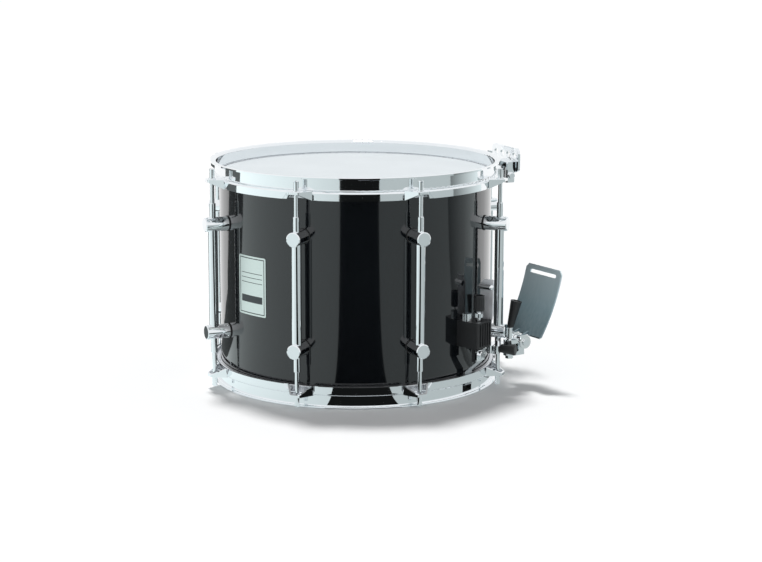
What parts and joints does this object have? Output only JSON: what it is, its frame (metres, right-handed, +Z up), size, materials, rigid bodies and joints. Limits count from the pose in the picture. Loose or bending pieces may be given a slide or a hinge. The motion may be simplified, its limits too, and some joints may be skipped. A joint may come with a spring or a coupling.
{
  "type": "parade snare drum",
  "caption": "Deep snare drum with tube lugs, chrome hoops, throw-off strainer, swivelling knee rest and sling plate; stands on its lower hoop.",
  "frame": {"origin": "centre of the lower hoop's flat lip, at the level the drum stands on", "axes": "+Z up along the shell's axis, -Y towards the front between two lugs, +X to the drum's right as seen from the front"},
  "size_m": [0.4598, 0.3924, 0.2935],
  "materials": {
    "shell_lacquer": "black high-gloss lacquer over wood",
    "chrome": "polished chrome plate",
    "coated_head": "white coated film",
    "clear_head": "hazy translucent film",
    "head_ring": "bright aluminium",
    "badge_metal": "satin plate with a printed abstract pattern",
    "gasket": "black rubber",
    "zinc_steel": "zinc plated",
    "wire_steel": "bright coiled steel",
    "strap_film": "translucent plastic strip",
    "black_moulding": "moulded black plastic",
    "knee_steel": "satin plated steel"
  },
  "bodies": {
    "drum": {"shell": "shell_lacquer", "batter_head": "coated_head", "batter_flesh_hoop": "head_ring", "batter_hoop": "chrome", "snare_head": "clear_head", "snare_flesh_hoop": "head_ring", "snare_hoop": "chrome", "vent_grommet": "chrome", "badge": "badge_metal", "lug_tubes": "chrome", "lug_posts": "chrome", "lug_sleeves": "chrome", "lug_gaskets": "gasket", "lug_screws": "zinc_steel", "lug_washers": "zinc_steel", "rod_washers": "chrome", "butt_strap": "strap_film", "strainer_housing": "black_moulding", "strainer_lever_pin": "chrome", "mount_screws": "zinc_steel", "butt_block": "black_moulding", "butt_clamp_bar": "chrome", "butt_clamp_screw": "chrome", "leg_clamp_arm": "chrome", "leg_clamp_jaw": "chrome", "leg_clamp_nut": "chrome", "sling_bracket": "chrome", "sling_plate": "chrome", "sling_screws": "chrome"},
    "throw_off_lever": {"strainer_lever": "chrome", "strainer_lever_grip": "chrome"},
    "snares": {"strainer_carriage": "black_moulding", "strap_clamp_bar": "chrome", "strap_clamp_screw": "chrome", "snare_strap": "strap_film", "snare_wires": "wire_steel"},
    "tension_knob": {"strainer_knob": "black_moulding", "strainer_knob_stem": "chrome"},
    "lock_nut": {"strainer_lock_nut": "chrome"},
    "leg_clamp_handle": {"leg_clamp_handle": "black_moulding"},
    "leg_fork": {"leg_fork": "chrome", "leg_hinge_pin": "chrome"},
    "leg_swivel_handle": {"leg_swivel_handle": "black_moulding"},
    "leg_plate": {"leg_plate": "knee_steel"},
    "batter_rod_1": {"batter_rod_1": "chrome"},
    "batter_rod_2": {"batter_rod_2": "chrome"},
    "batter_rod_3": {"batter_rod_3": "chrome"},
    "batter_rod_4": {"batter_rod_4": "chrome"},
    "batter_rod_5": {"batter_rod_5": "chrome"},
    "batter_rod_6": {"batter_rod_6": "chrome"},
    "batter_rod_7": {"batter_rod_7": "chrome"},
    "batter_rod_8": {"batter_rod_8": "chrome"},
    "snare_rod_1": {"snare_rod_1": "chrome"},
    "snare_rod_2": {"snare_rod_2": "chrome"},
    "snare_rod_3": {"snare_rod_3": "chrome"},
    "snare_rod_4": {"snare_rod_4": "chrome"},
    "snare_rod_5": {"snare_rod_5": "chrome"},
    "snare_rod_6": {"snare_rod_6": "chrome"},
    "snare_rod_7": {"snare_rod_7": "chrome"},
    "snare_rod_8": {"snare_rod_8": "chrome"}
  },
  "joints": [
    {"name": "throw_off", "type": "hinge", "parent": "drum", "child": "throw_off_lever", "pos_m": [0.15983, -0.11133, 0.08], "axis": [0.6428, 0.766, 0], "range_deg": [0, 95]},
    {"name": "snare_release", "type": "hinge", "parent": "drum", "child": "snares", "pos_m": [-0.11644, 0.0977, 0.0137], "axis": [0.6428, 0.766, 0], "range_deg": [0, 0.7305]},
    {"name": "knob_turn", "type": "hinge", "parent": "snares", "child": "tension_knob", "pos_m": [0.15321, -0.12856, 0.11], "axis": [0, 0, 1], "continuous": true},
    {"name": "lock_nut_turn", "type": "hinge", "parent": "drum", "child": "lock_nut", "pos_m": [0.13836, -0.12915, 0.104], "axis": [0, 0, 1], "continuous": true},
    {"name": "leg_clamp_turn", "type": "hinge", "parent": "drum", "child": "leg_clamp_handle", "pos_m": [0.18343, -0.09546, 0.055], "axis": [0.9239, -0.3827, 0], "continuous": true},
    {"name": "leg_swivel", "type": "hinge", "parent": "drum", "child": "leg_fork", "pos_m": [0.19725, -0.0817, 0.054], "axis": [0, 0, 1], "range_deg": [-40, 15]},
    {"name": "leg_swivel_lock", "type": "hinge", "parent": "drum", "child": "leg_swivel_handle", "pos_m": [0.19725, -0.0817, 0.07], "axis": [0, 0, 1], "range_deg": [-90, 30]},
    {"name": "leg_plate_tilt", "type": "hinge", "parent": "leg_fork", "child": "leg_plate", "pos_m": [0.21261, -0.07233, 0.06], "axis": [-0.521, 0.8536, 0], "range_deg": [-20, 60]},
    {"name": "batter_rod_1_turn", "type": "hinge", "parent": "drum", "child": "batter_rod_1", "pos_m": [0.07577, -0.18293, 0.255], "axis": [0, 0, 1], "continuous": true},
    {"name": "batter_rod_2_turn", "type": "hinge", "parent": "drum", "child": "batter_rod_2", "pos_m": [0.18293, -0.07577, 0.255], "axis": [0, 0, 1], "continuous": true},
    {"name": "batter_rod_3_turn", "type": "hinge", "parent": "drum", "child": "batter_rod_3", "pos_m": [0.18293, 0.07577, 0.255], "axis": [0, 0, 1], "continuous": true},
    {"name": "batter_rod_4_turn", "type": "hinge", "parent": "drum", "child": "batter_rod_4", "pos_m": [0.07577, 0.18293, 0.255], "axis": [0, 0, 1], "continuous": true},
    {"name": "batter_rod_5_turn", "type": "hinge", "parent": "drum", "child": "batter_rod_5", "pos_m": [-0.07577, 0.18293, 0.255], "axis": [0, 0, 1], "continuous": true},
    {"name": "batter_rod_6_turn", "type": "hinge", "parent": "drum", "child": "batter_rod_6", "pos_m": [-0.18293, 0.07577, 0.255], "axis": [0, 0, 1], "continuous": true},
    {"name": "batter_rod_7_turn", "type": "hinge", "parent": "drum", "child": "batter_rod_7", "pos_m": [-0.18293, -0.07577, 0.255], "axis": [0, 0, 1], "continuous": true},
    {"name": "batter_rod_8_turn", "type": "hinge", "parent": "drum", "child": "batter_rod_8", "pos_m": [-0.07577, -0.18293, 0.255], "axis": [0, 0, 1], "continuous": true},
    {"name": "snare_rod_1_turn", "type": "hinge", "parent": "drum", "child": "snare_rod_1", "pos_m": [0.07577, -0.18293, 0.034], "axis": [0, 0, 1], "continuous": true},
    {"name": "snare_rod_2_turn", "type": "hinge", "parent": "drum", "child": "snare_rod_2", "pos_m": [0.18293, -0.07577, 0.034], "axis": [0, 0, 1], "continuous": true},
    {"name": "snare_rod_3_turn", "type": "hinge", "parent": "drum", "child": "snare_rod_3", "pos_m": [0.18293, 0.07577, 0.034], "axis": [0, 0, 1], "continuous": true},
    {"name": "snare_rod_4_turn", "type": "hinge", "parent": "drum", "child": "snare_rod_4", "pos_m": [0.07577, 0.18293, 0.034], "axis": [0, 0, 1], "continuous": true},
    {"name": "snare_rod_5_turn", "type": "hinge", "parent": "drum", "child": "snare_rod_5", "pos_m": [-0.07577, 0.18293, 0.034], "axis": [0, 0, 1], "continuous": true},
    {"name": "snare_rod_6_turn", "type": "hinge", "parent": "drum", "child": "snare_rod_6", "pos_m": [-0.18293, 0.07577, 0.034], "axis": [0, 0, 1], "continuous": true},
    {"name": "snare_rod_7_turn", "type": "hinge", "parent": "drum", "child": "snare_rod_7", "pos_m": [-0.18293, -0.07577, 0.034], "axis": [0, 0, 1], "continuous": true},
    {"name": "snare_rod_8_turn", "type": "hinge", "parent": "drum", "child": "snare_rod_8", "pos_m": [-0.07577, -0.18293, 0.034], "axis": [0, 0, 1], "continuous": true}
  ],
  "couplings": [
    {"joint": "snare_release", "follows": "throw_off", "ratio": 0.0076884}
  ]
}
